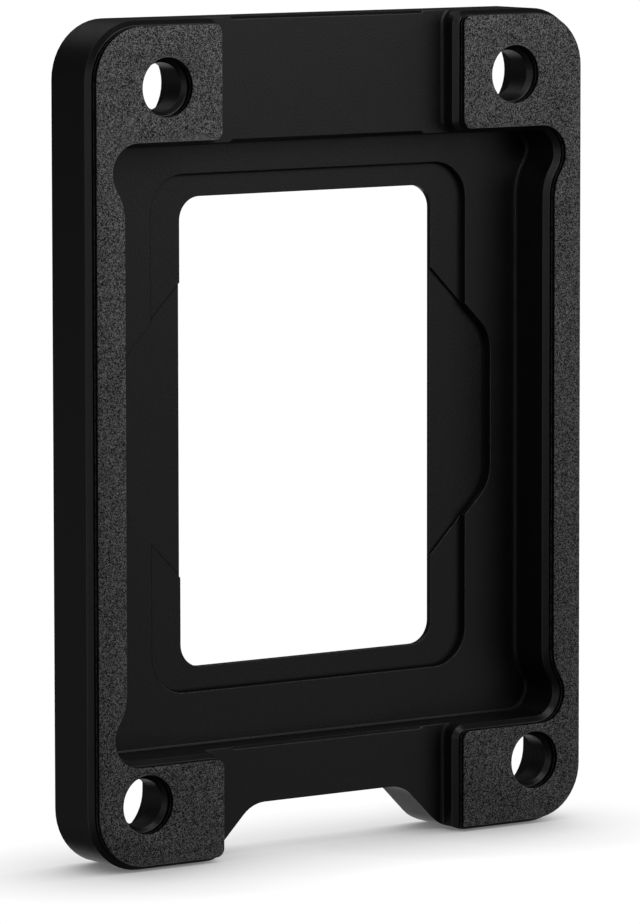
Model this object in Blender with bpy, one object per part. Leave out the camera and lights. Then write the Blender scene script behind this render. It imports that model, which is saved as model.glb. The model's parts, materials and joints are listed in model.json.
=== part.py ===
"""CPU socket retention frame: one milled aluminium frame and two insulating pads on its underside.

The frame stands on its lower edge. X runs across it, Z up it, and the underside with its pads faces -Y.
Drawings below are in millimetres, in the frame's own plane, and depths are taken from its milled underside
towards its outer face."""

import math

import bmesh
import bpy
from mathutils import Matrix

MM = 0.001

# Frame, overall
FRAME_WIDTH = 51.0
FRAME_HEIGHT = 71.0
FRAME_THICKNESS = 6.0
CORNER_RADIUS = 5.0
RAIL_CHAMFER = 0.42
OUTER_CHAMFER = 0.6
ARC_STEP = 7.5
SMALL_ARC_STEP = 22.5

# Bosses at the corners, and the webs that join them across the top and the bottom
WEB_DEPTH = 1.8
WEB_WIDTH = 24.2
BOSS_CORNER = 1.2
TOP_MARGIN = 10.55
BOTTOM_MARGIN = 9.2
WEB_EDGE_CHAMFER = 0.25
WEB_EDGE_CLEAR = 2.2

# Pocket between the rails, with relief corners that clear the socket's cover
POCKET_DEPTH = 4.32
RAIL_WIDTH = 3.65
RELIEF_REACH = 1.2
RELIEF_RADIUS = 2.05
BLEND_RADIUS = 4.55
FOOT_FILLET = 0.25

# Window for the processor's lid, the recess round it, and the wings at its sides
WINDOW_WIDTH = 26.2
WINDOW_TOP_LAND = 4.65
WINDOW_BOTTOM_LAND = 6.65
WINDOW_CORNER = 2.0
WINDOW_CHAMFER = 0.55
RECESS_DEPTH = 0.6
RECESS_LAND = 3.3
RECESS_TOP_LAND = 1.97
RECESS_BOTTOM_LAND = 2.05
RECESS_CORNER = 3.3
WING_DEPTH = 0.8
WING_LAND = 2.72
WING_HALF_LENGTH = 6.5
WING_RISE = 0.25
WING_CORNER = 3.6

# Notch in the lower edge
NOTCH_HEIGHT = 4.2
NOTCH_TOP_WIDTH = 15.8
NOTCH_SLOPE = 45.0
NOTCH_ROOT_RADIUS = 3.1
NOTCH_MOUTH_RADIUS = 4.0

# Screw bores, closer together at the top than at the bottom
TOP_BORE_SIDE_EDGE = 7.5
TOP_BORE_EDGE = 5.58
BOTTOM_BORE_SIDE_EDGE = 5.31
BOTTOM_BORE_EDGE = 5.61
BORE_DIAMETER = 4.1
BORE_CHAMFER = 0.35
BORE_SIDES = 48
HEAD_RECESS_DIAMETER = 7.72
HEAD_RECESS_SEAT = 2.5
HEAD_RECESS_WALL = 0.5
HEAD_RECESS_CORNER = 1.5

# Insulating pads
PAD_THICKNESS = 0.5
PAD_GAP = 0.3
PAD_INSET = 0.02
PAD_HOLE_DIAMETER = 5.0

PAST = 2.0
TOTAL = FRAME_THICKNESS + PAD_GAP + PAD_THICKNESS
UNDERSIDE_Y = -TOTAL / 2 + PAD_THICKNESS + PAD_GAP
HALF_WIDTH = FRAME_WIDTH / 2
POCKET_HALF = HALF_WIDTH - RAIL_WIDTH
POCKET_TOP = FRAME_HEIGHT - TOP_MARGIN
POCKET_BOTTOM = BOTTOM_MARGIN
WINDOW_TOP = POCKET_TOP - WINDOW_TOP_LAND
WINDOW_BOTTOM = POCKET_BOTTOM + WINDOW_BOTTOM_LAND
WINDOW_MIDDLE = (WINDOW_TOP + WINDOW_BOTTOM) / 2


def arc(centre_x, centre_z, radius, start, end, step=ARC_STEP):
    """Points along an arc, its angles in degrees, anticlockwise from +X when the end is the larger."""
    count = max(1, math.ceil(abs(end - start) / step))
    angles = [math.radians(start + (end - start) * i / count) for i in range(count + 1)]
    return [(centre_x + radius * math.cos(a), centre_z + radius * math.sin(a)) for a in angles]


def mirrored(points):
    """The same points on the other side of the middle, in reverse order."""
    return [(-x, z) for x, z in reversed(points)]


def rounded_rectangle(left, right, bottom, top, radius):
    return (
        arc(right - radius, top - radius, radius, 0, 90)
        + arc(left + radius, top - radius, radius, 90, 180)
        + arc(left + radius, bottom + radius, radius, 180, 270)
        + arc(right - radius, bottom + radius, radius, 270, 360)
    )


def pocket_side(inset=0.0):
    """The pocket's right side from its top end to its bottom end, its relief corners blended into the rail."""
    reach = POCKET_HALF + RELIEF_REACH - RELIEF_RADIUS
    blend = POCKET_HALF + BLEND_RADIUS
    drop = math.sqrt((RELIEF_RADIUS + BLEND_RADIUS) ** 2 - (blend - reach) ** 2)
    turn = math.degrees(math.atan2(drop, blend - reach))
    relief, round_in = RELIEF_RADIUS + inset, BLEND_RADIUS - inset
    top, bottom = POCKET_TOP - RELIEF_RADIUS, POCKET_BOTTOM + RELIEF_RADIUS
    return (
        arc(reach, top, relief, 90, -turn)
        + arc(blend, top - drop, round_in, 180 - turn, 180)
        + arc(blend, bottom + drop, round_in, 180, 180 + turn)
        + arc(reach, bottom, relief, turn, -90)
    )


def rail_outline(inset=0.0, square_foot=False):
    """The right rail with its two bosses, drawn inside its outline by the inset.

    A square foot leaves the lower boss's inner corner sharp."""
    outer, corner = CORNER_RADIUS - inset, BOSS_CORNER - inset
    boss = WEB_WIDTH / 2 + BOSS_CORNER
    right = HALF_WIDTH - CORNER_RADIUS
    if square_foot:
        foot = [(WEB_WIDTH / 2 + inset, inset)]
    else:
        foot = arc(boss, BOSS_CORNER, corner, 180, 270)
    return (
        arc(right, FRAME_HEIGHT - CORNER_RADIUS, outer, 0, 90)
        + arc(boss, FRAME_HEIGHT - BOSS_CORNER, corner, 90, 180)
        + arc(boss, POCKET_TOP + BOSS_CORNER, corner, 180, 270)
        + pocket_side(inset)
        + arc(boss, POCKET_BOTTOM - BOSS_CORNER, corner, 90, 180)
        + foot
        + arc(right, CORNER_RADIUS, outer, 270, 360)
    )


def channel_outline(low, high, square_foot=False):
    """The channel over a web, between two bosses: it flares round their corners at each end.

    A square foot leaves the right boss's lower corner sharp."""
    boss = WEB_WIDTH / 2 + BOSS_CORNER
    foot = [(boss, low - PAST)] + arc(boss, low + BOSS_CORNER, BOSS_CORNER, 270, 180)
    head = arc(boss, high - BOSS_CORNER, BOSS_CORNER, 180, 90) + [(boss, high + PAST)]
    right_foot = [(WEB_WIDTH / 2, low - PAST)] if square_foot else foot
    return right_foot + head + mirrored(foot + head)


def wing_outline():
    """Both wings as one strip across the window: straight ends, with flanks that spread towards the window."""
    reach = POCKET_HALF - WING_LAND
    middle = WINDOW_MIDDLE + WING_RISE
    inner = WINDOW_WIDTH / 4
    spread = reach - inner
    setback = WING_CORNER * math.tan(math.radians(22.5))
    right = (
        [(inner, middle - WING_HALF_LENGTH - spread)]
        + arc(reach - WING_CORNER, middle - WING_HALF_LENGTH + setback, WING_CORNER, -45, 0)
        + arc(reach - WING_CORNER, middle + WING_HALF_LENGTH - setback, WING_CORNER, 0, 45)
        + [(inner, middle + WING_HALF_LENGTH + spread)]
    )
    return right + mirrored(right)


def notch_outline():
    """The notch's outline: a flat top, sloping flanks, and mouths rounded into the lower edge."""
    slope = math.radians(NOTCH_SLOPE)
    run = NOTCH_HEIGHT / math.tan(slope)
    root = NOTCH_ROOT_RADIUS * math.tan(slope / 2)
    mouth = NOTCH_MOUTH_RADIUS * math.tan(slope / 2)
    top_x = NOTCH_TOP_WIDTH / 2 - root
    mouth_x = NOTCH_TOP_WIDTH / 2 + run + mouth
    right = (
        [(mouth_x, -PAST)]
        + arc(mouth_x, NOTCH_MOUTH_RADIUS, NOTCH_MOUTH_RADIUS, 270, 270 - NOTCH_SLOPE)
        + arc(top_x, NOTCH_HEIGHT - NOTCH_ROOT_RADIUS, NOTCH_ROOT_RADIUS, 90 - NOTCH_SLOPE, 90)
    )
    return right + mirrored(right)


def head_recess_outline(x, z):
    """A screw head's recess. It is round, with a flat side where it would break into the pocket."""
    radius, corner = HEAD_RECESS_DIAMETER / 2, HEAD_RECESS_CORNER
    flat = POCKET_BOTTOM - HEAD_RECESS_WALL
    if z > flat or z + radius <= flat:
        return arc(x, z, radius, 0, 360)
    return (
        arc(x + radius - corner, flat - corner, corner, 0, 90)
        + arc(x - radius + corner, flat - corner, corner, 90, 180)
        + arc(x, z, radius, 180, 360)
    )


def bore_places():
    """The four screw bores, as (side, x, z)."""
    rows = (
        (HALF_WIDTH - TOP_BORE_SIDE_EDGE, FRAME_HEIGHT - TOP_BORE_EDGE),
        (HALF_WIDTH - BOTTOM_BORE_SIDE_EDGE, BOTTOM_BORE_EDGE),
    )
    return [(side, side * x, z) for x, z in rows for side in (-1, 1)]


def at_depth(depth):
    """World Y, in millimetres, of a depth below the frame's milled underside."""
    return UNDERSIDE_Y + depth


def collection_of(name):
    found = bpy.data.collections.new(name)
    bpy.context.scene.collection.children.link(found)
    return found


def material_of(name, colour, roughness, metallic):
    material = bpy.data.materials.new(name)
    material.use_nodes = True
    surface = material.node_tree.nodes["Principled BSDF"]
    surface.inputs["Base Color"].default_value = (*colour, 1.0)
    surface.inputs["Roughness"].default_value = roughness
    surface.inputs["Metallic"].default_value = metallic
    return material


def plate(name, collection, outline, near, far, flare=0.0):
    """A flat outline drawn in X and Z, made solid from one depth to another.

    A flare widens it at 45 degrees from the near depth on, and stays at that width."""
    curve = bpy.data.curves.new(name, "CURVE")
    curve.dimensions = "2D"
    curve.fill_mode = "BOTH"
    curve.extrude = ((far - near) / 2 - flare) * MM
    curve.bevel_depth = flare * MM
    curve.bevel_resolution = 0
    spline = curve.splines.new("POLY")
    distinct = [p for i, p in enumerate(outline) if math.dist(p, outline[i - 1]) > 1e-6]
    spline.points.add(len(distinct) - 1)
    for point, (x, z) in zip(spline.points, distinct):
        point.co = (x * MM, z * MM, 0.0, 1.0)
    spline.use_cyclic_u = True
    drawn = bpy.data.objects.new(name + "_drawing", curve)
    collection.objects.link(drawn)
    drawn.matrix_world = Matrix.Translation((0, at_depth((near + far) / 2) * MM, 0)) @ Matrix.Rotation(
        math.radians(90), 4, "X"
    )
    bpy.context.view_layer.update()
    graph = bpy.context.evaluated_depsgraph_get()
    mesh = bpy.data.meshes.new_from_object(drawn.evaluated_get(graph))
    mesh.transform(drawn.matrix_world)
    mesh.name = name
    bpy.data.objects.remove(drawn)
    bpy.data.curves.remove(curve)
    weld(mesh)
    solid = bpy.data.objects.new(name, mesh)
    collection.objects.link(solid)
    return solid


def weld(mesh):
    """Joins the caps to the sides, makes each cap one face again, and turns every face out."""
    work = bmesh.new()
    work.from_mesh(mesh)
    bmesh.ops.remove_doubles(work, verts=work.verts, dist=1e-7)
    bmesh.ops.dissolve_limit(
        work, angle_limit=math.radians(0.05), verts=work.verts, edges=work.edges
    )
    bmesh.ops.recalc_face_normals(work, faces=work.faces)
    work.to_mesh(mesh)
    work.free()


def turned(name, collection, x, z, near, far, near_radius, far_radius, sides=BORE_SIDES):
    """A cylinder or a cone along Y, between two depths."""
    bpy.ops.mesh.primitive_cone_add(
        vertices=sides,
        radius1=near_radius * MM,
        radius2=far_radius * MM,
        depth=(far - near) * MM,
        location=(x * MM, at_depth((near + far) / 2) * MM, z * MM),
        rotation=(math.radians(-90), 0, 0),
    )
    solid = bpy.context.active_object
    solid.name = name
    for old in solid.users_collection:
        old.objects.unlink(solid)
    collection.objects.link(solid)
    return solid


def break_edges(solid, depth, width, segments=1, keep=lambda x, z: True):
    """Chamfers or rounds the edges that lie at one depth, where keep says so."""
    level = at_depth(depth) * MM
    work = bmesh.new()
    work.from_mesh(solid.data)
    edges = [
        edge
        for edge in work.edges
        if all(abs(v.co.y - level) < 1e-6 for v in edge.verts)
        and edge.calc_face_angle(0.0) > math.radians(30)
        and all(keep(v.co.x / MM, v.co.z / MM) for v in edge.verts)
    ]
    bmesh.ops.bevel(
        work,
        geom=edges,
        offset=width * MM,
        offset_type="OFFSET",
        segments=segments,
        profile=0.5,
        affect="EDGES",
        clamp_overlap=False,
    )
    bmesh.ops.recalc_face_normals(work, faces=work.faces)
    work.to_mesh(solid.data)
    work.free()


def cut(solid, cutters):
    for cutter in cutters:
        cutter.hide_render = True
        cutter.display_type = "WIRE"
        boolean = solid.modifiers.new(cutter.name, "BOOLEAN")
        boolean.operation = "DIFFERENCE"
        boolean.solver = "EXACT"
        boolean.object = cutter


def settle(solid):
    """Makes the modifiers' result the mesh itself."""
    bpy.context.view_layer.update()
    graph = bpy.context.evaluated_depsgraph_get()
    made = bpy.data.meshes.new_from_object(solid.evaluated_get(graph))
    solid.modifiers.clear()
    old = solid.data
    solid.data = made
    bpy.data.meshes.remove(old)
    weld(solid.data)


def web_edge_cutter(name, collection, z, side):
    """A chamfer along a web's edge that stops short of the bosses, with the tool's round run-out at each end.

    The side is +1 where the web's material lies below the edge, and -1 where it lies above."""
    half = WEB_WIDTH / 2 - WEB_EDGE_CLEAR - WEB_EDGE_CHAMFER
    line = z + side * WEB_EDGE_CHAMFER
    tip = WEB_EDGE_CHAMFER / 2
    outline = arc(half, line, tip, -90, 90, SMALL_ARC_STEP)
    outline += arc(-half, line, tip, 90, 270, SMALL_ARC_STEP)
    far = WEB_DEPTH + 1.5 * WEB_EDGE_CHAMFER
    return plate(name, collection, outline, far - 4 * WEB_EDGE_CHAMFER, far, 1.75 * WEB_EDGE_CHAMFER)


def shade(solid, degrees=25.0):
    solid.data.shade_smooth()
    solid.data.set_sharp_from_angle(angle=math.radians(degrees))


def make_frame(parts, cutters, material):
    blank = rounded_rectangle(-HALF_WIDTH, HALF_WIDTH, 0, FRAME_HEIGHT, CORNER_RADIUS)
    frame = plate("frame_body", parts, blank, 0, FRAME_THICKNESS)
    side = pocket_side()
    pocket = plate("pocket_cut", cutters, side + mirrored(side), -PAST, POCKET_DEPTH)
    top_web = channel_outline(POCKET_TOP, FRAME_HEIGHT)
    bottom_web = channel_outline(0, POCKET_BOTTOM, square_foot=True)
    top_channel = plate("top_channel_cut", cutters, top_web, -PAST, WEB_DEPTH)
    bottom_channel = plate("bottom_channel_cut", cutters, bottom_web, -PAST, WEB_DEPTH)
    break_edges(pocket, POCKET_DEPTH, FOOT_FILLET, segments=2)
    on_wall = WEB_WIDTH / 2 + BOSS_CORNER - 1e-4
    for channel in (top_channel, bottom_channel):
        break_edges(channel, WEB_DEPTH, FOOT_FILLET, 2, lambda x, z: abs(x) < on_wall)
    cut(frame, [pocket, top_channel, bottom_channel])
    settle(frame)
    break_edges(frame, 0, RAIL_CHAMFER)
    break_edges(frame, FRAME_THICKNESS, OUTER_CHAMFER)

    floor, recess_floor = POCKET_DEPTH, POCKET_DEPTH + RECESS_DEPTH
    recess_half = WINDOW_WIDTH / 2 + RECESS_LAND
    recess = rounded_rectangle(
        -recess_half,
        recess_half,
        WINDOW_BOTTOM - RECESS_BOTTOM_LAND,
        WINDOW_TOP + RECESS_TOP_LAND,
        RECESS_CORNER,
    )
    window = rounded_rectangle(
        -WINDOW_WIDTH / 2, WINDOW_WIDTH / 2, WINDOW_BOTTOM, WINDOW_TOP, WINDOW_CORNER
    )
    window_rim = FRAME_THICKNESS - WINDOW_CHAMFER
    cuts = [
        plate("recess_cut", cutters, recess, floor - PAST, recess_floor),
        plate("wing_cut", cutters, wing_outline(), floor - PAST, floor + WING_DEPTH),
        plate("window_cut", cutters, window, floor - PAST, FRAME_THICKNESS + PAST),
        plate("window_rim_cut", cutters, window, window_rim, window_rim + 3 * PAST, flare=PAST),
        plate("notch_cut", cutters, notch_outline(), -PAST, FRAME_THICKNESS + PAST),
        web_edge_cutter("top_web_outer_edge_cut", cutters, FRAME_HEIGHT, 1),
        web_edge_cutter("top_web_pocket_edge_cut", cutters, POCKET_TOP, -1),
        web_edge_cutter("bottom_web_pocket_edge_cut", cutters, POCKET_BOTTOM, 1),
    ]
    bore, past = BORE_DIAMETER / 2, FRAME_THICKNESS + PAST
    for number, (_, x, z) in enumerate(bore_places(), 1):
        mouth = (-PAST, BORE_CHAMFER, bore + BORE_CHAMFER + PAST, bore)
        cuts.append(turned(f"bore_{number}_cut", cutters, x, z, -PAST, past, bore, bore))
        cuts.append(turned(f"bore_mouth_{number}_cut", cutters, x, z, *mouth))
        seat = head_recess_outline(x, z)
        cuts.append(plate(f"head_recess_{number}_cut", cutters, seat, HEAD_RECESS_SEAT, past))
    cut(frame, cuts)
    settle(frame)
    frame.data.materials.clear()
    frame.data.materials.append(material)
    shade(frame)
    return frame


def make_pad(name, parts, cutters, side, material):
    """A pad with its adhesive, die-cut as one piece to its rail's top face, with a hole over each bore."""
    outline = rail_outline(RAIL_CHAMFER + PAD_INSET, square_foot=side > 0)
    if side < 0:
        outline = mirrored(outline)
    near, far = -PAD_GAP - PAD_THICKNESS, -PAD_GAP
    pad = plate(name, parts, outline, near, far)
    hole = (near - PAST, far + PAST, PAD_HOLE_DIAMETER / 2, PAD_HOLE_DIAMETER / 2)
    holes = [
        turned(f"{name}_hole_{number}_cut", cutters, x, z, *hole)
        for number, (at_side, x, z) in enumerate(bore_places(), 1)
        if at_side == side
    ]
    cut(pad, holes)
    settle(pad)
    pad.data.materials.clear()
    pad.data.materials.append(material)
    shade(pad)
    return pad


def main():
    for old in list(bpy.data.objects):
        bpy.data.objects.remove(old)
    parts = collection_of("cpu_socket_retention_frame")
    cutters = collection_of("cutters")
    anodised = material_of("black_anodised_aluminium", (0.012, 0.013, 0.013), 0.42, 0.6)
    insulating = material_of("textured_insulating_pad", (0.045, 0.045, 0.046), 0.62, 0.0)
    make_frame(parts, cutters, anodised)
    make_pad("left_pad", parts, cutters, -1, insulating)
    make_pad("right_pad", parts, cutters, 1, insulating)


main()
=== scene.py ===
"""Finish of a processor socket's retention frame.

It gives the metal its blasted black anodising, builds the laminated pads, and sets the studio around them.
"""

import json
import math
from collections import namedtuple

import bpy
from bpy.props import FloatProperty, FloatVectorProperty, PointerProperty
from mathutils import Matrix, Vector

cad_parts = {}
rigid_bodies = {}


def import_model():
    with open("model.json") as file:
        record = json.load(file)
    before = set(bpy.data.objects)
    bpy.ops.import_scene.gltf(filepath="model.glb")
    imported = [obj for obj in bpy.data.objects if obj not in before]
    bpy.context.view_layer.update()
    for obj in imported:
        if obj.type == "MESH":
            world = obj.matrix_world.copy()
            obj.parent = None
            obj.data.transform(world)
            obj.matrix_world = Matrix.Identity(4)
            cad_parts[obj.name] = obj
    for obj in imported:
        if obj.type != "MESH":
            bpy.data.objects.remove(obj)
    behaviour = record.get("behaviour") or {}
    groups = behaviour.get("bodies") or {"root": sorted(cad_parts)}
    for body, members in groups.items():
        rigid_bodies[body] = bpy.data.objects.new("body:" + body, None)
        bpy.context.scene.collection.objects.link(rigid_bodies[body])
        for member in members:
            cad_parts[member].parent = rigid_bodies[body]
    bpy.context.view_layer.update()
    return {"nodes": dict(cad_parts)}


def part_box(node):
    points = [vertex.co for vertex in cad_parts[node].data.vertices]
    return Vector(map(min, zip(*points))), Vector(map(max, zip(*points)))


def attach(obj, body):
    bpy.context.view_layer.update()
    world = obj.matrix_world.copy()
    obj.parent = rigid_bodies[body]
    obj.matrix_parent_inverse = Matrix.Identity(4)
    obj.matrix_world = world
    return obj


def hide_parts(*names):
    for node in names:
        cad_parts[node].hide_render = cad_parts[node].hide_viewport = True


bl_info = {
    "name": "Socket Frame Finish",
    "version": (1, 0, 0),
    "blender": (4, 5, 0),
    "location": "3D View > Sidebar > Socket Frame",
    "description": "Finishes a retention frame for a processor socket and sets the studio around it",
    "category": "Object",
}

for stray in list(bpy.data.objects):
    bpy.data.objects.remove(stray)
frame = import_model()

MM = 0.001
METAL_NODE = "frame_body"
PAD_NODES = ("left_pad", "right_pad")

# Modelling
MERGE_DISTANCE = 1e-7
SAME_PLACE = 1e-6
FLAT_ANGLE = math.radians(0.05)
METAL_SMOOTHING = math.radians(20.0)
PAD_SMOOTHING = math.radians(35.0)
ADHESIVE_CLEARANCE = 0.01 * MM
SHEET, CUT_EDGE, CORE, ADHESIVE = range(4)

# Directions, seen from the front
UP_AND_LEFT = (-0.5, 0.0, 0.87)
LEFT = (-1.0, 0.0, 0.0)
DOWN_AND_RIGHT = (0.5, 0.0, -0.87)

# The metal: its patterns, and the ranges over which its edges, corners and sides fade in, for the painted
# highlight on edges facing up and left and the painted shade on other edges and in corners
MOTTLE_SIZE = 2.2 * MM
OUTER_ROOM = (0.7, 0.96)
EDGE_TURN = (0.003, 0.045)
FACING_UP = (0.0, 0.3)
FACING_SIDE = (0.2, 0.6)
HIGHLIGHT_BASE, HIGHLIGHT_GRAIN, HIGHLIGHT_MOTTLE = 0.45, 0.7, 0.4
CORNER_DULL_AND_SHADE = 0.85
ROUGHNESS_SPREAD = 0.1
METAL_TINTS = (0.75, 1.3)
METAL_TINT_FADE = (0.3, 0.7)

# The pads' sheet: patches of rising and falling strokes, their speckle, the painted glints on the brightest
# grains and the painted highlight on the rim
PATCH_SIZE = 0.3 * MM
PATCH_FADE = (0.45, 0.55)
STROKE_TURN = math.radians(45.0)
SPECKLE_FADE = (0.36, 0.66)
SPECKLE_SPREAD = 3.2
GLINT_FADE = (0.68, 0.85)
GLINT_TINT = 6.0
RIM_HIGHLIGHT_FADE = (0.1, 0.5)
SHEET_ROUGHNESS, SPECKLE_GLOSS = 0.75, 0.2

# The pads' layers
STREAK_SIZE = 0.35 * MM
FIBRE_SIZE = 0.12 * MM
FIBRE_DEPTH = 0.006 * MM
LAYER_TINTS = (0.3, 1.6)
LAYER_TINT_FADE = (0.38, 0.62)
LAYER_SHEEN = 0.1

# Shares of the coarse and the fine pattern in a tint
FIRST_SHARE, SECOND_SHARE = 0.6, 0.4

# The studio: a light's power is the setting of that name, its bearing runs to the right of the front, angles
# are in degrees and lengths in millimetres
FLOOR_SIZE = 8.0
FLOOR_CENTRE = (0.0, 1.5, 0.0)
FLOOR_GLOW = 1.02
BLACK = (0.0, 0.0, 0.0)
CAMERA_CLIP = (0.01, 50.0)
FOOT, MIDDLE, TOP = (0.0, 0.0, 5.0), (0.0, 0.0, 35.0), (0.0, 0.0, 71.0)
Softbox = namedtuple("Softbox", "name power target bearing height distance size")
SOFTBOXES = (
    Softbox("key_softbox", "key_power", MIDDLE, 35.0, 25.0, 400.0, 260.0),
    Softbox("low_softbox", "low_power", MIDDLE, 35.0, -12.0, 400.0, 260.0),
    Softbox("right_softbox", "right_power", MIDDLE, 75.0, 10.0, 400.0, 260.0),
    Softbox("left_softbox", "left_power", FOOT, -85.0, -8.0, 160.0, 100.0),
    Softbox("side_softbox", "side_power", MIDDLE, -55.0, 10.0, 300.0, 150.0),
    Softbox("edge_softbox", "edge_power", FOOT, -145.0, -8.0, 200.0, 130.0),
    Softbox("top_softbox", "top_power", TOP, 0.0, 32.0, 83.0, 50.0),
    Softbox("back_softbox", "back_power", TOP, 180.0, 45.0, 250.0, 160.0),
    Softbox("rear_softbox", "rear_power", MIDDLE, 150.0, -25.0, 400.0, 260.0),
)


# Shader wiring

class Wire:
    """A node's output that takes part in expressions."""

    def __init__(self, recipe, socket):
        self.recipe = recipe
        self.socket = socket

    def maths(self, operation, first, second):
        return self.recipe.wire("ShaderNodeMath", {"operation": operation}, {0: first, 1: second})

    def __add__(self, other):
        return self.maths("ADD", self, other)

    def __radd__(self, other):
        return self.maths("ADD", other, self)

    def __sub__(self, other):
        return self.maths("SUBTRACT", self, other)

    def __rsub__(self, other):
        return self.maths("SUBTRACT", other, self)

    def __mul__(self, other):
        return self.maths("MULTIPLY", self, other)

    def clamp(self, low, high):
        """This value, moved from the range low to high onto 0 to 1 and held there."""
        return self.recipe.wire(
            "ShaderNodeMapRange",
            {"interpolation_type": "SMOOTHSTEP"},
            {"Value": self, "From Min": low, "From Max": high},
        )


class Recipe:
    """A material under construction."""

    def __init__(self, name):
        self.material = bpy.data.materials.new(name)
        self.material.use_nodes = True
        self.tree = self.material.node_tree
        self.tree.nodes.clear()
        self.place = self.wire("ShaderNodeTexCoord", output="Object")

    def node(self, kind, settings=None, values=None):
        made = self.tree.nodes.new(kind)
        for key, value in (settings or {}).items():
            setattr(made, key, value)
        for key, value in (values or {}).items():
            if isinstance(value, Wire):
                self.tree.links.new(value.socket, made.inputs[key])
            else:
                made.inputs[key].default_value = value
        return made

    def wire(self, kind, settings=None, values=None, output=0):
        return Wire(self, self.node(kind, settings, values).outputs[output])

    def blend(self, factor, first, second):
        """A colour between two others."""
        mixed = self.node("ShaderNodeMix", {"data_type": "RGBA"}, {0: factor})
        for index, value in ((6, first), (7, second)):
            if isinstance(value, Wire):
                self.tree.links.new(value.socket, mixed.inputs[index])
            else:
                mixed.inputs[index].default_value = (*value, 1.0)
        return Wire(self, mixed.outputs[2])

    def along(self, first, second):
        """How far one direction goes along another."""
        values = {0: first, 1: second}
        return self.wire("ShaderNodeVectorMath", {"operation": "DOT_PRODUCT"}, values, "Value")

    def turned(self, factor, first, second):
        """A direction between two others."""
        mixed = self.node("ShaderNodeMix", {"data_type": "VECTOR"}, {0: factor, 4: first, 5: second})
        return Wire(self, mixed.outputs[1])

    def stretched(self, scale, turn):
        """Object coordinates that lengthen a pattern by the scale, along axes turned by the angles."""
        values = {"Vector": self.place, "Rotation": turn, "Scale": scale}
        return self.wire("ShaderNodeMapping", {"vector_type": "TEXTURE"}, values)

    def noise(self, size, detail, roughness):
        """Noise whose grains are about size metres across."""
        values = {"Vector": self.place, "Scale": 1.0 / size, "Detail": detail, "Roughness": roughness}
        return self.wire("ShaderNodeTexNoise", None, values)

    def cells(self, size, place):
        """Uneven cells about size metres across, each of one random value."""
        values = {"Vector": place, "Scale": 1.0 / size}
        return self.wire("ShaderNodeTexVoronoi", {"feature": "F1"}, values, "Color")

    def bump(self, height, depth, normal=None):
        values = {"Height": height, "Distance": depth, "Strength": 1.0}
        if normal:
            values["Normal"] = normal
        return self.wire("ShaderNodeBump", None, values)

    def finish(self, values):
        surface = self.node("ShaderNodeBsdfPrincipled", None, values)
        self.node("ShaderNodeOutputMaterial", None, {"Surface": Wire(self, surface.outputs[0])})
        return self.material


def shade(colour, factor):
    return tuple(factor * part for part in colour)


def anodised_metal(finish):
    """Blasted black anodising, with a painted highlight along outer edges that face up and left, and painted
    shade on other edges and in corners, which are also rougher.
    """
    recipe = Recipe("blasted_black_anodising")
    rounded = recipe.wire("ShaderNodeBevel", {"samples": 6}, {"Radius": finish.edge_radius}, "Normal")
    plain = recipe.wire("ShaderNodeNewGeometry", None, None, "Normal")
    near = {"Distance": finish.corner_reach}
    room = recipe.wire("ShaderNodeAmbientOcclusion", {"samples": 6, "only_local": True}, near, "AO")
    outer = room.clamp(*OUTER_ROOM)
    edge = (1.0 - recipe.along(rounded, plain)).clamp(*EDGE_TURN)
    upward = recipe.along(rounded, UP_AND_LEFT).clamp(*FACING_UP)
    sideward = recipe.along(rounded, LEFT).clamp(*FACING_SIDE)
    kept = upward * outer + sideward * (1.0 - outer)
    grain = recipe.noise(finish.grain_size, 2.0, 0.6)
    mottle = recipe.noise(MOTTLE_SIZE, 3.0, 0.55)
    # Painted highlight: outer edges facing up and left, towards the light, are paler, broken up by the grain
    # and mottle.
    painted_edge_highlight = edge * upward * outer * (HIGHLIGHT_BASE + grain * HIGHLIGHT_GRAIN + mottle * HIGHLIGHT_MOTTLE)
    # Painted shade: edges facing away from the light and inner corners lose their reflections through
    # Metallic; they are also made rougher.
    dull_and_shaded = (edge * (1.0 - kept) + (1.0 - outer) * CORNER_DULL_AND_SHADE).clamp(0.0, 1.0)
    mixture = (grain * FIRST_SHARE + mottle * SECOND_SHARE).clamp(*METAL_TINT_FADE)
    tint = recipe.blend(mixture, *(shade(finish.colour, factor) for factor in METAL_TINTS))
    roughness = finish.roughness + mottle * ROUGHNESS_SPREAD + dull_and_shaded * finish.edge_dullness
    return recipe.finish({
        # The painted highlight along edges facing up and left is mixed into the colour here.
        "Base Color": recipe.blend(painted_edge_highlight * finish.edge_highlight_strength, tint, finish.edge_highlight_colour),
        "Roughness": roughness - 0.5 * ROUGHNESS_SPREAD,
        # Painted shade on edges facing away from the light and in inner corners.
        "Metallic": dull_and_shaded * finish.painted_edge_and_corner_shade,
        "Specular IOR Level": finish.sheen,
        "Normal": recipe.bump(grain, finish.grain_depth, recipe.turned(kept, plain, rounded)),
    })


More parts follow.
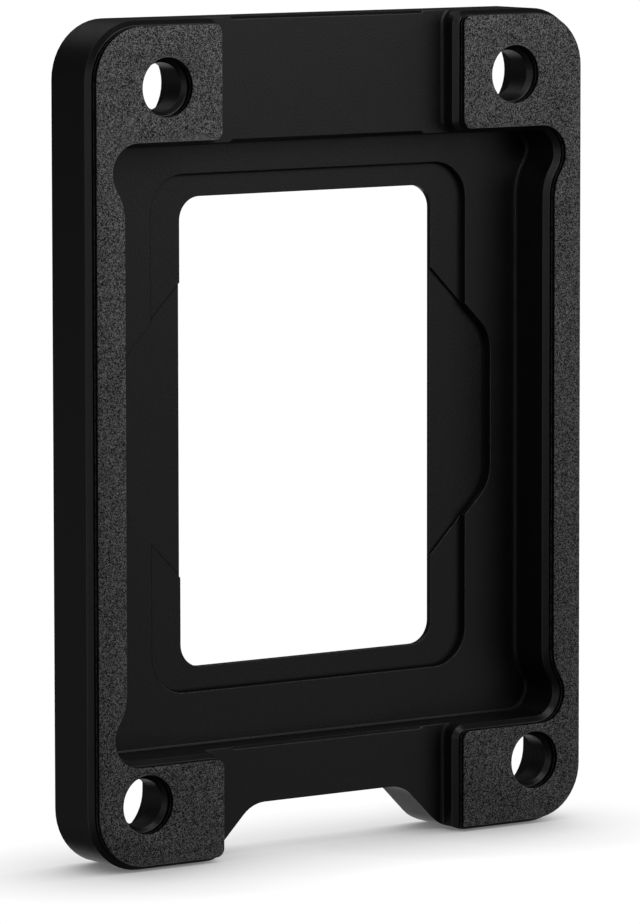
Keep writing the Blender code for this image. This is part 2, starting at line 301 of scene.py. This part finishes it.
def sheet_material(finish):
    """The pad's textured top sheet: sand-like grain of short slanting strokes, with painted glints on a few
    bright grains and a painted highlight on its rim where it faces down and right.
    """
    recipe = Recipe("grained_pad_sheet")
    rising = recipe.stretched((1.0, 1.0, finish.stroke), (0.0, STROKE_TURN, 0.0))
    falling = recipe.stretched((1.0, 1.0, finish.stroke), (0.0, -STROKE_TURN, 0.0))
    patches = recipe.noise(PATCH_SIZE, 1.0, 0.5).clamp(*PATCH_FADE)
    strokes = recipe.cells(finish.grain_size, rising) * patches
    cross = recipe.cells(finish.grain_size, falling) * (1.0 - patches)
    relief = strokes + cross
    speckle = relief.clamp(*SPECKLE_FADE)
    dark = shade(finish.colour, finish.grain_shade)
    pale = shade(finish.colour, SPECKLE_SPREAD - finish.grain_shade)
    tint = recipe.blend(speckle, dark, pale)
    # Painted glints: the brightest grains are tinted many times paler.
    tint = recipe.blend(relief.clamp(*GLINT_FADE) * finish.glints, tint, shade(finish.colour, GLINT_TINT))
    surface = recipe.wire("ShaderNodeNewGeometry", None, None, "Normal")
    # Painted highlight on the sheet's rounded rim where it faces down and right.
    rim_highlight = recipe.along(surface, DOWN_AND_RIGHT).clamp(*RIM_HIGHLIGHT_FADE)
    tint = recipe.blend(rim_highlight, tint, tuple(finish.rim_highlight_colour))
    return recipe.finish({
        "Base Color": tint,
        "Roughness": SHEET_ROUGHNESS - speckle * SPECKLE_GLOSS,
        "Specular IOR Level": finish.sheen,
        "Normal": recipe.bump(relief, finish.grain_depth),
    })


def laminate_material(name, colour, roughness):
    """A cut edge of one of the pad's layers, broken up along its length."""
    recipe = Recipe(name)
    streaks = recipe.noise(STREAK_SIZE, 2.0, 0.6)
    fibres = recipe.noise(FIBRE_SIZE, 2.0, 0.5)
    mixture = (streaks * FIRST_SHARE + fibres * SECOND_SHARE).clamp(*LAYER_TINT_FADE)
    tint = recipe.blend(mixture, *(shade(colour, factor) for factor in LAYER_TINTS))
    return recipe.finish({
        "Base Color": tint,
        "Roughness": roughness + fibres * ROUGHNESS_SPREAD,
        "Specular IOR Level": LAYER_SHEEN,
        "Normal": recipe.bump(fibres, FIBRE_DEPTH),
    })


def floor_material(studio):
    """A pale floor that glows evenly, with a painted contact shadow where something stands close over it; no
    lamp lights it.
    """
    recipe = Recipe("pale_studio_floor")

    def openness(lean):
        """How open the floor is in a direction that leans over from behind the frame, which sets the painted
        contact shadow.
        """
        towards = Vector((*lean, 1.0)).normalized()
        sky = recipe.wire("ShaderNodeCombineXYZ", None, {"X": towards.x, "Y": towards.y, "Z": towards.z})
        values = {"Normal": sky, "Distance": studio.contact_reach}
        return recipe.wire("ShaderNodeAmbientOcclusion", {"samples": 12}, values, "AO")

    # Painted contact shadow: the floor's glow is dimmed where these directions are closed off.
    behind = openness(studio.lean_behind) * studio.shade_behind
    beside = openness(studio.lean_beside) * studio.shade_beside
    unshaded = 1.0 - studio.shade_behind - studio.shade_beside
    tint = recipe.blend(behind + beside + unshaded, BLACK, tuple(studio.floor_colour))
    return recipe.finish({
        "Base Color": (*BLACK, 1.0),
        "Roughness": 1.0,
        "Specular IOR Level": 0.0,
        "Emission Color": tint,
        "Emission Strength": FLOOR_GLOW,
    })


# Modelling

def deselect():
    if bpy.context.object and bpy.context.object.mode != "OBJECT":
        bpy.ops.object.mode_set(mode="OBJECT")
    bpy.ops.object.select_all(action="DESELECT")


def take(piece):
    """Make a piece the only one selected."""
    deselect()
    piece.select_set(True)
    bpy.context.view_layer.objects.active = piece


def copied_solid(node, name):
    """A copy of one of the frame's solids, its loose triangles joined."""
    take(frame["nodes"][node])
    bpy.ops.object.duplicate()
    piece = bpy.context.object
    piece.name = piece.data.name = name
    piece.data.materials.clear()
    bpy.ops.object.mode_set(mode="EDIT")
    bpy.ops.mesh.select_all(action="SELECT")
    bpy.ops.mesh.remove_doubles(threshold=MERGE_DISTANCE)
    bpy.ops.mesh.dissolve_limited(angle_limit=FLAT_ANGLE)
    bpy.ops.object.mode_set(mode="OBJECT")
    if piece.data.has_custom_normals:
        bpy.ops.mesh.customdata_custom_splitnormals_clear()
    return piece


def choose(piece, mode, test):
    """Select the vertices, edges or faces of a piece that pass a test."""
    take(piece)
    bpy.ops.object.mode_set(mode="EDIT")
    bpy.ops.mesh.select_mode(type=mode)
    bpy.ops.mesh.select_all(action="DESELECT")
    bpy.ops.object.mode_set(mode="OBJECT")
    mesh = piece.data
    parts = {"VERT": mesh.vertices, "EDGE": mesh.edges, "FACE": mesh.polygons}[mode]
    for part in parts:
        part.select = test(mesh, part)
    bpy.ops.object.mode_set(mode="EDIT")


def slice_across(piece, y):
    """Cut new edges round a piece at one depth."""
    choose(piece, "FACE", lambda mesh, face: True)
    bpy.ops.mesh.bisect(plane_co=(0.0, y, 0.0), plane_no=(0.0, 1.0, 0.0))
    bpy.ops.object.mode_set(mode="OBJECT")


# Sizes and colours

class MetalFinish(bpy.types.PropertyGroup):
    """The frame's own finish."""

    colour: FloatVectorProperty(
        name="Colour", description="Colour of the anodising", subtype="COLOR", size=3,
        min=0.0, max=1.0, default=(0.0040, 0.0043, 0.0042))
    # Painted highlight: the colour laid along outer edges that face up and left.
    edge_highlight_colour: FloatVectorProperty(
        name="Worn Colour", description="Colour of the metal along worn edges", subtype="COLOR", size=3,
        min=0.0, max=1.0, default=(0.14, 0.143, 0.142))
    # Unworn edges here are the edges without the painted highlight.
    edge_dullness: FloatProperty(
        name="Edge Dullness", description="How much rougher the unworn edges and inner corners are",
        subtype="FACTOR", min=0.0, max=1.0, default=0.6)
    # Painted shade: how much edges facing away from the light and inner corners lose their reflections.
    painted_edge_and_corner_shade: FloatProperty(
        name="Corner Shade", description="How much the unworn edges and inner corners lose their reflections",
        subtype="FACTOR", min=0.0, max=1.0, default=0.6)
    corner_reach: FloatProperty(
        name="Corner Reach", description="How near another face must be to make an inner corner",
        subtype="DISTANCE", unit="LENGTH", min=0.0, default=0.3 * MM, precision=6)
    # Strength of the painted highlight along edges facing up and left.
    edge_highlight_strength: FloatProperty(
        name="Edge Wear", description="How much of the worn colour shows along edges",
        subtype="FACTOR", min=0.0, max=1.0, default=0.5)
    edge_radius: FloatProperty(
        name="Edge Radius", description="Rounding of the deburred edges", subtype="DISTANCE", unit="LENGTH",
        min=0.0, default=0.11 * MM, precision=6)
    grain_size: FloatProperty(
        name="Grain Size", description="Size of the blasted grain", subtype="DISTANCE", unit="LENGTH",
        min=0.00001, default=0.16 * MM, precision=6)
    grain_depth: FloatProperty(
        name="Grain Depth", description="Depth of the blasted grain", subtype="DISTANCE", unit="LENGTH",
        min=0.0, default=0.02 * MM, precision=6)
    roughness: FloatProperty(
        name="Roughness", description="Roughness of the anodising", subtype="FACTOR",
        min=0.0, max=1.0, default=0.38)
    sheen: FloatProperty(
        name="Sheen", description="Strength of the anodising's reflections", subtype="FACTOR",
        min=0.0, max=1.0, default=0.5)


class PadFinish(bpy.types.PropertyGroup):
    """The pads' sheet and the layers under it."""

    colour: FloatVectorProperty(
        name="Sheet Colour", description="Colour of the textured top sheet", subtype="COLOR", size=3,
        min=0.0, max=1.0, default=(0.064, 0.064, 0.064))
    # Painted highlight: the colour of the sheet's rounded rim where it faces down and right.
    rim_highlight_colour: FloatVectorProperty(
        name="Rim Colour", description="Colour of the sheet's rim where it was cut through",
        subtype="COLOR", size=3, min=0.0, max=1.0, default=(0.3, 0.3, 0.3))
    stroke: FloatProperty(
        name="Stroke", description="How much longer than wide the grain's strokes are", min=1.0, default=1.9)
    # Strength of the painted glints on the brightest grains.
    glints: FloatProperty(
        name="Glints", description="How strongly the bright grains stand out", subtype="FACTOR",
        min=0.0, max=1.0, default=0.6)
    core_colour: FloatVectorProperty(
        name="Core Colour", description="Colour of the pale layer inside the pad", subtype="COLOR", size=3,
        min=0.0, max=1.0, default=(0.045, 0.045, 0.045))
    cut_colour: FloatVectorProperty(
        name="Cut Colour", description="Colour of the top sheet's cut edge", subtype="COLOR", size=3,
        min=0.0, max=1.0, default=(0.003, 0.003, 0.003))
    adhesive_colour: FloatVectorProperty(
        name="Adhesive Colour", description="Colour of the adhesive under the pad", subtype="COLOR", size=3,
        min=0.0, max=1.0, default=(0.001, 0.001, 0.001))
    sheet_thickness: FloatProperty(
        name="Sheet Thickness", description="Thickness of the textured top sheet", subtype="DISTANCE",
        unit="LENGTH", min=0.00005, default=0.40 * MM, precision=6)
    core_thickness: FloatProperty(
        name="Core Thickness", description="Thickness of the pale layer", subtype="DISTANCE",
        unit="LENGTH", min=0.00005, default=0.16 * MM, precision=6)
    edge_radius: FloatProperty(
        name="Edge Radius", description="Rounding of the die-cut edge", subtype="DISTANCE", unit="LENGTH",
        min=0.0, default=0.08 * MM, precision=6)
    grain_size: FloatProperty(
        name="Grain Size", description="Size of the sheet's grain", subtype="DISTANCE", unit="LENGTH",
        min=0.00001, default=0.058 * MM, precision=6)
    grain_depth: FloatProperty(
        name="Grain Depth", description="Depth of the sheet's grain", subtype="DISTANCE", unit="LENGTH",
        min=0.0, default=0.03 * MM, precision=6)
    grain_shade: FloatProperty(
        name="Grain Shade", description="How dark the hollows of the grain are", subtype="FACTOR",
        min=0.0, max=1.0, default=0.05)
    sheen: FloatProperty(
        name="Sheen", description="Strength of the sheet's reflections", subtype="FACTOR",
        min=0.0, max=1.0, default=0.4)


class StudioSettings(bpy.types.PropertyGroup):
    """The floor, the lights and the camera."""

    floor_colour: FloatVectorProperty(
        name="Floor Colour", description="Colour of the studio floor", subtype="COLOR", size=3,
        min=0.0, max=1.0, default=(1.0, 1.0, 1.0))
    # The floor's contact shadow is painted into its glow: these settings shape it, and no lamp lights the
    # floor.
    contact_reach: FloatProperty(
        name="Contact Reach", description="How close something must be to shade the floor",
        subtype="DISTANCE", unit="LENGTH", min=0.0, default=15.0 * MM)
    lean_behind: FloatVectorProperty(
        name="Lean Behind", description="Sideways and backward lean of the light from behind the frame",
        subtype="XYZ", size=2, default=(0.4, 0.6))
    lean_beside: FloatVectorProperty(
        name="Lean Beside", description="Sideways and backward lean of the light from beside the frame",
        subtype="XYZ", size=2, default=(0.6, 0.2))
    shade_behind: FloatProperty(
        name="Shade Behind", description="Share of the floor's light that comes from behind the frame",
        subtype="FACTOR", min=0.0, max=1.0, default=0.39)
    shade_beside: FloatProperty(
        name="Shade Beside", description="Share of the floor's light that comes from beside the frame",
        subtype="FACTOR", min=0.0, max=1.0, default=0.57)
    surround: FloatProperty(
        name="Surround", description="Strength of the light from all round", min=0.0, default=0.065)
    key_power: FloatProperty(
        name="Key Power", description="Power of the main soft light, in watts",
        min=0.0, default=0.176, precision=3)
    low_power: FloatProperty(
        name="Low Power", description="Power of the light under the main one, in watts",
        min=0.0, default=0.048, precision=3)
    right_power: FloatProperty(
        name="Right Power", description="Power of the light at the right, in watts",
        min=0.0, default=0.128, precision=3)
    left_power: FloatProperty(
        name="Left Power", description="Power of the light at the left, in watts",
        min=0.0, default=0.017, precision=3)
    side_power: FloatProperty(
        name="Side Power", description="Power of the light between the front and the left, in watts",
        min=0.0, default=0.047, precision=3)
    edge_power: FloatProperty(
        name="Edge Power", description="Power of the light behind and to the left, in watts",
        min=0.0, default=0.0026, precision=4)
    top_power: FloatProperty(
        name="Top Power", description="Power of the small light over the front, in watts",
        min=0.0, default=0.0256, precision=4)
    back_power: FloatProperty(
        name="Back Power", description="Power of the light over the back, in watts",
        min=0.0, default=0.02, precision=3)
    rear_power: FloatProperty(
        name="Rear Power", description="Power of the light on the outer face, in watts",
        min=0.0, default=0.12, precision=3)
    lens: FloatProperty(
        name="Lens", description="Focal length of the camera, in millimetres", subtype="DISTANCE_CAMERA",
        min=1.0, default=246.02)
    target: FloatVectorProperty(
        name="Camera Target", description="Point that the camera looks at", subtype="XYZ", unit="LENGTH",
        size=3, default=(-2.664 * MM, -3.4 * MM, 41.731 * MM), precision=6)
    distance: FloatProperty(
        name="Camera Distance", description="Distance from the camera to its target", subtype="DISTANCE",
        unit="LENGTH", min=0.01, default=533.294 * MM)
    bearing: FloatProperty(
        name="Camera Bearing", description="How far the camera looks to the right of the frame's axis",
        subtype="ANGLE", default=math.radians(35.246))
    dip: FloatProperty(
        name="Camera Dip", description="How far the camera looks downwards", subtype="ANGLE",
        default=math.radians(5.590))
    roll: FloatProperty(
        name="Camera Roll", description="Turn of the camera about its own axis", subtype="ANGLE",
        default=math.radians(-0.071))
    rise: FloatProperty(
        name="Camera Rise", description="Vertical shift of the picture", default=-0.10823)


# Operators

class SOCKETFRAME_OT_finish_metal(bpy.types.Operator):
    """Dress the milled frame in blasted black anodising"""

    bl_idname = "socketframe.finish_metal"
    bl_label = "Finish Metal"
    bl_options = {"REGISTER", "UNDO"}

    def execute(self, context):
        finish = context.scene.socket_frame_metal
        piece = copied_solid(METAL_NODE, "anodised_frame")
        take(piece)
        bpy.ops.object.shade_smooth_by_angle(angle=METAL_SMOOTHING)
        piece.data.materials.append(anodised_metal(finish))
        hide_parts(METAL_NODE)
        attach(piece, "root")
        return {"FINISHED"}


class SOCKETFRAME_OT_build_pads(bpy.types.Operator):
    """Build both pads as laminates of adhesive, pale core and textured sheet"""

    bl_idname = "socketframe.build_pads"
    bl_label = "Build Pads"
    bl_options = {"REGISTER", "UNDO"}

    def execute(self, context):
        finish = context.scene.socket_frame_pads
        materials = (
            sheet_material(finish),
            laminate_material("pad_sheet_cut_edge", finish.cut_colour, 0.7),
            laminate_material("pale_pad_core", finish.core_colour, 0.6),
            laminate_material("dark_pad_adhesive", finish.adhesive_colour, 0.7),
        )
        for node in PAD_NODES:
            self.build(node, finish, materials)
        return {"FINISHED"}

    def build(self, node, finish, materials):
        piece = copied_solid(node, f"laminated_{node}")
        low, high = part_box(node)
        face, back = low[1], high[1]
        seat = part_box(METAL_NODE)[0][1]
        sheet_back = face + finish.sheet_thickness
        core_back = sheet_back + finish.core_thickness
        choose(piece, "VERT", lambda mesh, vertex: abs(vertex.co.y - back) < SAME_PLACE)
        bpy.ops.transform.translate(value=(0.0, seat - ADHESIVE_CLEARANCE - back, 0.0))
        bpy.ops.object.mode_set(mode="OBJECT")
        slice_across(piece, sheet_back)
        slice_across(piece, core_back)
        for material in materials:
            piece.data.materials.append(material)
        for polygon in piece.data.polygons:
            if polygon.center.y > core_back:
                polygon.material_index = ADHESIVE
            elif polygon.center.y > sheet_back:
                polygon.material_index = CORE
            elif polygon.center.y > face + SAME_PLACE:
                polygon.material_index = CUT_EDGE
        self.break_edge(piece, face, finish.edge_radius)
        take(piece)
        bpy.ops.object.shade_smooth_by_angle(angle=PAD_SMOOTHING)
        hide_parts(node)
        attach(piece, "root")

    def break_edge(self, piece, face, radius):
        """Round the die-cut edge of the sheet."""
        level = {vertex.index for vertex in piece.data.vertices if abs(vertex.co.y - face) < SAME_PLACE}
        walls = set()
        for polygon in piece.data.polygons:
            if not level.issuperset(polygon.vertices):
                walls.update(polygon.edge_keys)
        choose(piece, "EDGE", lambda mesh, edge: edge.key in walls and level.issuperset(edge.vertices))
        bpy.ops.mesh.bevel(
            offset=radius, offset_type="OFFSET", segments=2, profile=0.5, affect="EDGES", material=SHEET)
        bpy.ops.object.mode_set(mode="OBJECT")


class SOCKETFRAME_OT_set_studio(bpy.types.Operator):
    """Lay the floor, hang the soft lights and place the camera"""

    bl_idname = "socketframe.set_studio"
    bl_label = "Set Studio"
    bl_options = {"REGISTER", "UNDO"}

    def execute(self, context):
        studio = context.scene.socket_frame_studio
        self.lay_floor(studio)
        self.colour_surround(context.scene, studio)
        for box in SOFTBOXES:
            self.hang_light(box, getattr(studio, box.power))
        self.place_camera(context.scene, studio)
        context.scene.view_settings.view_transform = "Standard"
        return {"FINISHED"}

    def lay_floor(self, studio):
        deselect()
        bpy.ops.mesh.primitive_plane_add(size=FLOOR_SIZE, location=FLOOR_CENTRE)
        floor = bpy.context.object
        floor.name = floor.data.name = "studio_floor"
        bpy.ops.object.transform_apply(location=True, rotation=True, scale=True)
        floor.data.materials.append(floor_material(studio))
        floor.visible_diffuse = False
        floor.visible_glossy = False
        floor.visible_shadow = False

    def colour_surround(self, scene, studio):
        world = bpy.data.worlds.new("pale_surround")
        world.use_nodes = True
        tree = world.node_tree
        seen = tree.nodes["Background"]
        seen.inputs["Color"].default_value = (1.0, 1.0, 1.0, 1.0)
        lighting = tree.nodes.new("ShaderNodeBackground")
        lighting.inputs["Strength"].default_value = studio.surround
        ray = tree.nodes.new("ShaderNodeLightPath")
        mixed = tree.nodes.new("ShaderNodeMixShader")
        tree.links.new(ray.outputs["Is Camera Ray"], mixed.inputs[0])
        tree.links.new(lighting.outputs[0], mixed.inputs[1])
        tree.links.new(seen.outputs[0], mixed.inputs[2])
        tree.links.new(mixed.outputs[0], tree.nodes["World Output"].inputs["Surface"])
        scene.world = world

    def hang_light(self, box, power):
        """A soft square light that looks at its target."""
        bearing, height = math.radians(box.bearing), math.radians(box.height)
        away = Vector((
            math.sin(bearing) * math.cos(height),
            -math.cos(bearing) * math.cos(height),
            math.sin(height),
        ))
        deselect()
        bpy.ops.object.light_add(type="AREA", location=(Vector(box.target) + away * box.distance) * MM)
        lamp = bpy.context.object
        lamp.name = lamp.data.name = box.name
        lamp.rotation_euler = away.to_track_quat("Z", "Y").to_euler()
        lamp.data.size = box.size * MM
        lamp.data.energy = power

    def place_camera(self, scene, studio):
        bearing, dip, roll = studio.bearing, studio.dip, studio.roll
        forward = Vector((
            math.sin(bearing) * math.cos(dip),
            math.cos(bearing) * math.cos(dip),
            -math.sin(dip),
        ))
        level = Vector((math.cos(bearing), -math.sin(bearing), 0.0))
        upright = level.cross(forward)
        right = level * math.cos(roll) + upright * math.sin(roll)
        up = right.cross(forward)
        place = Vector(studio.target) - forward * studio.distance
        bpy.ops.object.camera_add(location=place)
        camera = bpy.context.object
        camera.name = camera.data.name = "studio_camera"
        turn = Matrix((right, up, -forward)).transposed()
        camera.rotation_euler = turn.to_euler()
        camera.data.lens = studio.lens
        camera.data.shift_y = studio.rise
        camera.data.clip_start, camera.data.clip_end = CAMERA_CLIP
        scene.camera = camera


class SOCKETFRAME_PT_panel(bpy.types.Panel):
    """Sizes, colours and steps of the frame's finish."""

    bl_idname = "SOCKETFRAME_PT_panel"
    bl_label = "Socket Frame"
    bl_space_type = "VIEW_3D"
    bl_region_type = "UI"
    bl_category = "Socket Frame"

    def draw(self, context):
        steps = (
            ("socket_frame_metal", SOCKETFRAME_OT_finish_metal),
            ("socket_frame_pads", SOCKETFRAME_OT_build_pads),
            ("socket_frame_studio", SOCKETFRAME_OT_set_studio),
        )
        for group, step in steps:
            settings = getattr(context.scene, group)
            box = self.layout.box()
            for key in settings.__annotations__:
                box.prop(settings, key)
            box.operator(step.bl_idname)


CLASSES = (
    MetalFinish,
    PadFinish,
    StudioSettings,
    SOCKETFRAME_OT_finish_metal,
    SOCKETFRAME_OT_build_pads,
    SOCKETFRAME_OT_set_studio,
    SOCKETFRAME_PT_panel,
)


def register():
    for piece in CLASSES:
        bpy.utils.register_class(piece)
    bpy.types.Scene.socket_frame_metal = PointerProperty(type=MetalFinish)
    bpy.types.Scene.socket_frame_pads = PointerProperty(type=PadFinish)
    bpy.types.Scene.socket_frame_studio = PointerProperty(type=StudioSettings)


def unregister():
    del bpy.types.Scene.socket_frame_studio
    del bpy.types.Scene.socket_frame_pads
    del bpy.types.Scene.socket_frame_metal
    for piece in reversed(CLASSES):
        bpy.utils.unregister_class(piece)


def main():
    register()
    bpy.ops.socketframe.finish_metal()
    bpy.ops.socketframe.build_pads()
    bpy.ops.socketframe.set_studio()


if __name__ == "__main__":
    main()
